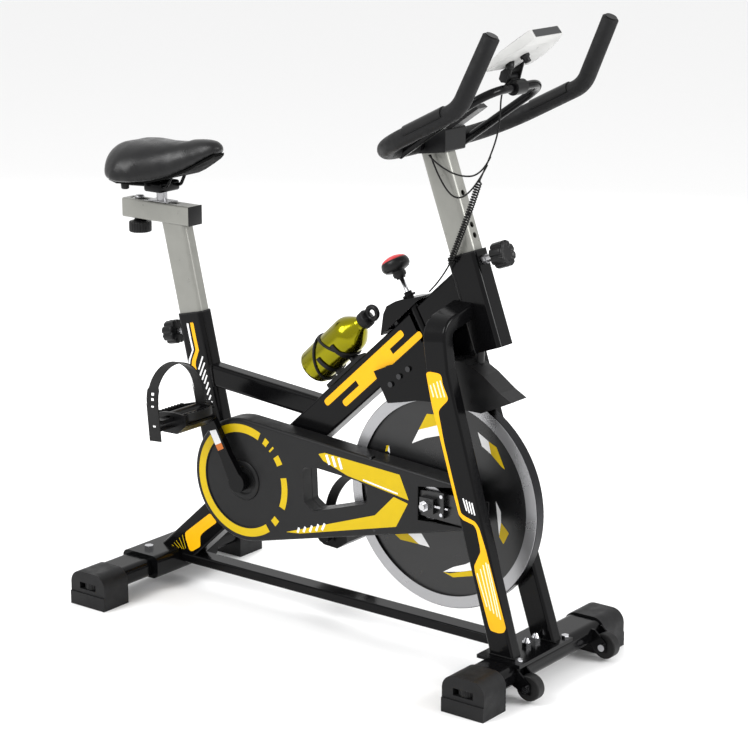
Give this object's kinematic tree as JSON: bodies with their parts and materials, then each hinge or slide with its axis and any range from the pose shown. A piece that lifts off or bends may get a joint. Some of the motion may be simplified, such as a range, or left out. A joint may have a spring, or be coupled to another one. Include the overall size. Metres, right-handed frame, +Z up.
{
  "type": "exercise bike",
  "caption": "Spin bike with a solid front flywheel, belt guard, toe-strap pedals, height-adjustable sprung saddle and looped handlebar with a small console",
  "frame": {"origin": "on the floor, under the middle of the bike's whole length and width", "axes": "+X forward towards the flywheel and handlebar, +Y the rider's left, +Z up"},
  "size_m": [1.114, 0.5, 1.2378],
  "materials": {
    "black_frame": "gloss black powder coat",
    "silver_post": "satin silver-grey paint",
    "steel": "bright zinc plate",
    "chrome": "polished",
    "flywheel_iron": "dark painted iron with a polished rim",
    "dark_plastic": "matt dark grey moulding",
    "guard_plastic": "satin dark grey moulding",
    "knob_plastic": "matt black moulding",
    "saddle_leather": "smooth black synthetic leather",
    "foam": "closed-cell foam grip",
    "rubber": "matt black rubber",
    "console_white": "glossy white case",
    "grey_plastic": "light grey moulding",
    "bottle_paint": "metallic lime-gold lacquer",
    "red_dome": "black knob with a red domed top"
  },
  "bodies": {
    "frame": {"front_stabilizer": "black_frame", "rear_stabilizer": "black_frame", "foot_caps": "dark_plastic", "floor_beam": "black_frame", "main_beam": "black_frame", "seat_tube": "black_frame", "head_tube": "black_frame", "tube_bushings": "dark_plastic", "top_tube": "black_frame", "right_leg": "black_frame", "left_leg": "black_frame", "gusset_plates": "black_frame", "brake_housing": "black_frame", "front_fender": "guard_plastic", "guard_outer": "guard_plastic", "guard_inner": "guard_plastic", "drive_belt": "rubber", "flywheel_axle": "steel", "frame_fasteners": "chrome", "bottle_cage": "knob_plastic", "bottom_bracket_bearings": "steel"},
    "flywheel": {"flywheel_disc": "flywheel_iron", "flywheel_hub": "steel"},
    "crankset": {"crank_spindle": "steel", "crank_pulley": "dark_plastic", "crank_arm_right": "black_frame", "crank_arm_left": "black_frame"},
    "right_pedal": {"pedal_right": "knob_plastic", "pedal_strap_right": "rubber"},
    "left_pedal": {"pedal_left": "knob_plastic", "pedal_strap_left": "rubber"},
    "seat_post_body": {"seat_post": "silver_post"},
    "saddle": {"seat_slider": "steel", "saddle_rails": "black_frame", "saddle_base": "dark_plastic", "saddle_cushion": "saddle_leather"},
    "slider_knob": {"seat_slider_knob": "knob_plastic"},
    "seat_pin": {"seat_post_pin": "steel"},
    "seat_knob": {"seat_post_knob": "knob_plastic"},
    "handlebar_set": {"handlebar_post": "silver_post", "handlebar_stem": "knob_plastic", "handlebar": "black_frame", "handlebar_grips": "foam", "pulse_sensors": "chrome", "console_cables": "rubber", "curly_cord": "rubber"},
    "handlebar_pin": {"handlebar_post_pin": "steel"},
    "handlebar_knob": {"handlebar_post_knob": "knob_plastic"},
    "console": {"console_housing": "console_white"},
    "button": {"console_button": "grey_plastic"},
    "brake": {"brake_plunger": "steel"},
    "brake_handle": {"brake_knob": "red_dome"},
    "right_transport_wheel": {"transport_wheel_right": "rubber"},
    "left_transport_wheel": {"transport_wheel_left": "rubber"},
    "front_right_leveller": {"leveller_front_right": "knob_plastic"},
    "front_left_leveller": {"leveller_front_left": "knob_plastic"},
    "rear_right_leveller": {"leveller_rear_right": "knob_plastic"},
    "rear_left_leveller": {"leveller_rear_left": "knob_plastic"},
    "water_bottle": {"bottle": "bottle_paint"},
    "bottle_lid": {"bottle_cap": "knob_plastic"}
  },
  "joints": [
    {"name": "flywheel_spin", "type": "hinge", "parent": "frame", "child": "flywheel", "pos_m": [0.264, -0.012, 0.3205], "axis": [0, 1, 0], "continuous": true},
    {"name": "crank_spin", "type": "hinge", "parent": "frame", "child": "crankset", "pos_m": [-0.1943, 0, 0.2815], "axis": [0, 1, 0], "continuous": true},
    {"name": "pedal_right_spin", "type": "hinge", "parent": "crankset", "child": "right_pedal", "pos_m": [-0.2768, -0.151, 0.42439], "axis": [0, 1, 0], "continuous": true},
    {"name": "pedal_left_spin", "type": "hinge", "parent": "crankset", "child": "left_pedal", "pos_m": [-0.1118, 0.151, 0.13861], "axis": [0, 1, 0], "continuous": true},
    {"name": "seat_height", "type": "slide", "parent": "frame", "child": "seat_post_body", "axis": [-0.2283, 0, 0.9736], "range_m": [-0.12, 0.08]},
    {"name": "seat_fore_aft", "type": "slide", "parent": "seat_post_body", "child": "saddle", "axis": [1, 0, 0], "range_m": [-0.01, 0.03]},
    {"name": "seat_slider_knob_turn", "type": "hinge", "parent": "saddle", "child": "slider_knob", "pos_m": [-0.526, 0, 0.751], "axis": [0, 0, 1], "range_deg": [0, 360]},
    {"name": "seat_pin_pull", "type": "slide", "parent": "frame", "child": "seat_pin", "axis": [-0.9736, 0, -0.2283], "range_m": [0, 0.008], "stiffness_N_per_m": 900, "springref_m": -0.006},
    {"name": "seat_knob_turn", "type": "hinge", "parent": "seat_pin", "child": "seat_knob", "pos_m": [-0.43106, 0, 0.54072], "axis": [-0.9736, 0, -0.2283], "range_deg": [0, 360]},
    {"name": "handlebar_height", "type": "slide", "parent": "frame", "child": "handlebar_set", "axis": [-0.342, 0, 0.9397], "range_m": [-0.05, 0.04], "deforming": ["curly_cord"]},
    {"name": "handlebar_pin_pull", "type": "slide", "parent": "frame", "child": "handlebar_pin", "axis": [0.9397, 0, 0.342], "range_m": [0, 0.008], "stiffness_N_per_m": 900, "springref_m": -0.006},
    {"name": "handlebar_knob_turn", "type": "hinge", "parent": "handlebar_pin", "child": "handlebar_knob", "pos_m": [0.36206, 0, 0.80079], "axis": [0.9397, 0, 0.342], "range_deg": [0, 360]},
    {"name": "console_tilt", "type": "hinge", "parent": "handlebar_set", "child": "console", "pos_m": [0.389, 0, 1.132], "axis": [0, 1, 0], "range_deg": [-12, 10]},
    {"name": "console_button_press", "type": "slide", "parent": "console", "child": "button", "axis": [0.565, 0, -0.8251], "range_m": [0, 0.001], "stiffness_N_per_m": 300, "springref_m": -0.001},
    {"name": "brake_press", "type": "slide", "parent": "frame", "child": "brake", "axis": [0.512, 0, -0.859], "range_m": [0, 0.004], "stiffness_N_per_m": 3000, "springref_m": -0.004},
    {"name": "brake_knob_turn", "type": "hinge", "parent": "brake", "child": "brake_handle", "pos_m": [0.14498, -0.012, 0.75484], "axis": [-0.512, 0, 0.859], "range_deg": [0, 360]},
    {"name": "transport_wheel_right_spin", "type": "hinge", "parent": "frame", "child": "right_transport_wheel", "pos_m": [0.532, -0.113, 0.032], "axis": [0, 1, 0], "continuous": true},
    {"name": "transport_wheel_left_spin", "type": "hinge", "parent": "frame", "child": "left_transport_wheel", "pos_m": [0.532, 0.15, 0.032], "axis": [0, 1, 0], "continuous": true},
    {"name": "leveller_front_right_turn", "type": "hinge", "parent": "frame", "child": "front_right_leveller", "pos_m": [0.469, -0.2185, 0.044], "axis": [0, 0, 1], "continuous": true},
    {"name": "leveller_front_left_turn", "type": "hinge", "parent": "frame", "child": "front_left_leveller", "pos_m": [0.469, 0.2185, 0.044], "axis": [0, 0, 1], "continuous": true},
    {"name": "leveller_rear_right_turn", "type": "hinge", "parent": "frame", "child": "rear_right_leveller", "pos_m": [-0.467, -0.226, 0.044], "axis": [0, 0, 1], "continuous": true},
    {"name": "leveller_rear_left_turn", "type": "hinge", "parent": "frame", "child": "rear_left_leveller", "pos_m": [-0.467, 0.226, 0.044], "axis": [0, 0, 1], "continuous": true},
    {"name": "bottle_slide", "type": "slide", "parent": "frame", "child": "water_bottle", "axis": [0.7377, 0, 0.6751], "range_m": [0, 0.06]},
    {"name": "bottle_cap_turn", "type": "hinge", "parent": "water_bottle", "child": "bottle_lid", "pos_m": [0.06291, 0, 0.63885], "axis": [0.7377, 0, 0.6751], "range_deg": [0, 360]}
  ],
  "couplings": [
    {"joint": "crank_spin", "follows": "flywheel_spin", "ratio": 0.3093}
  ]
}
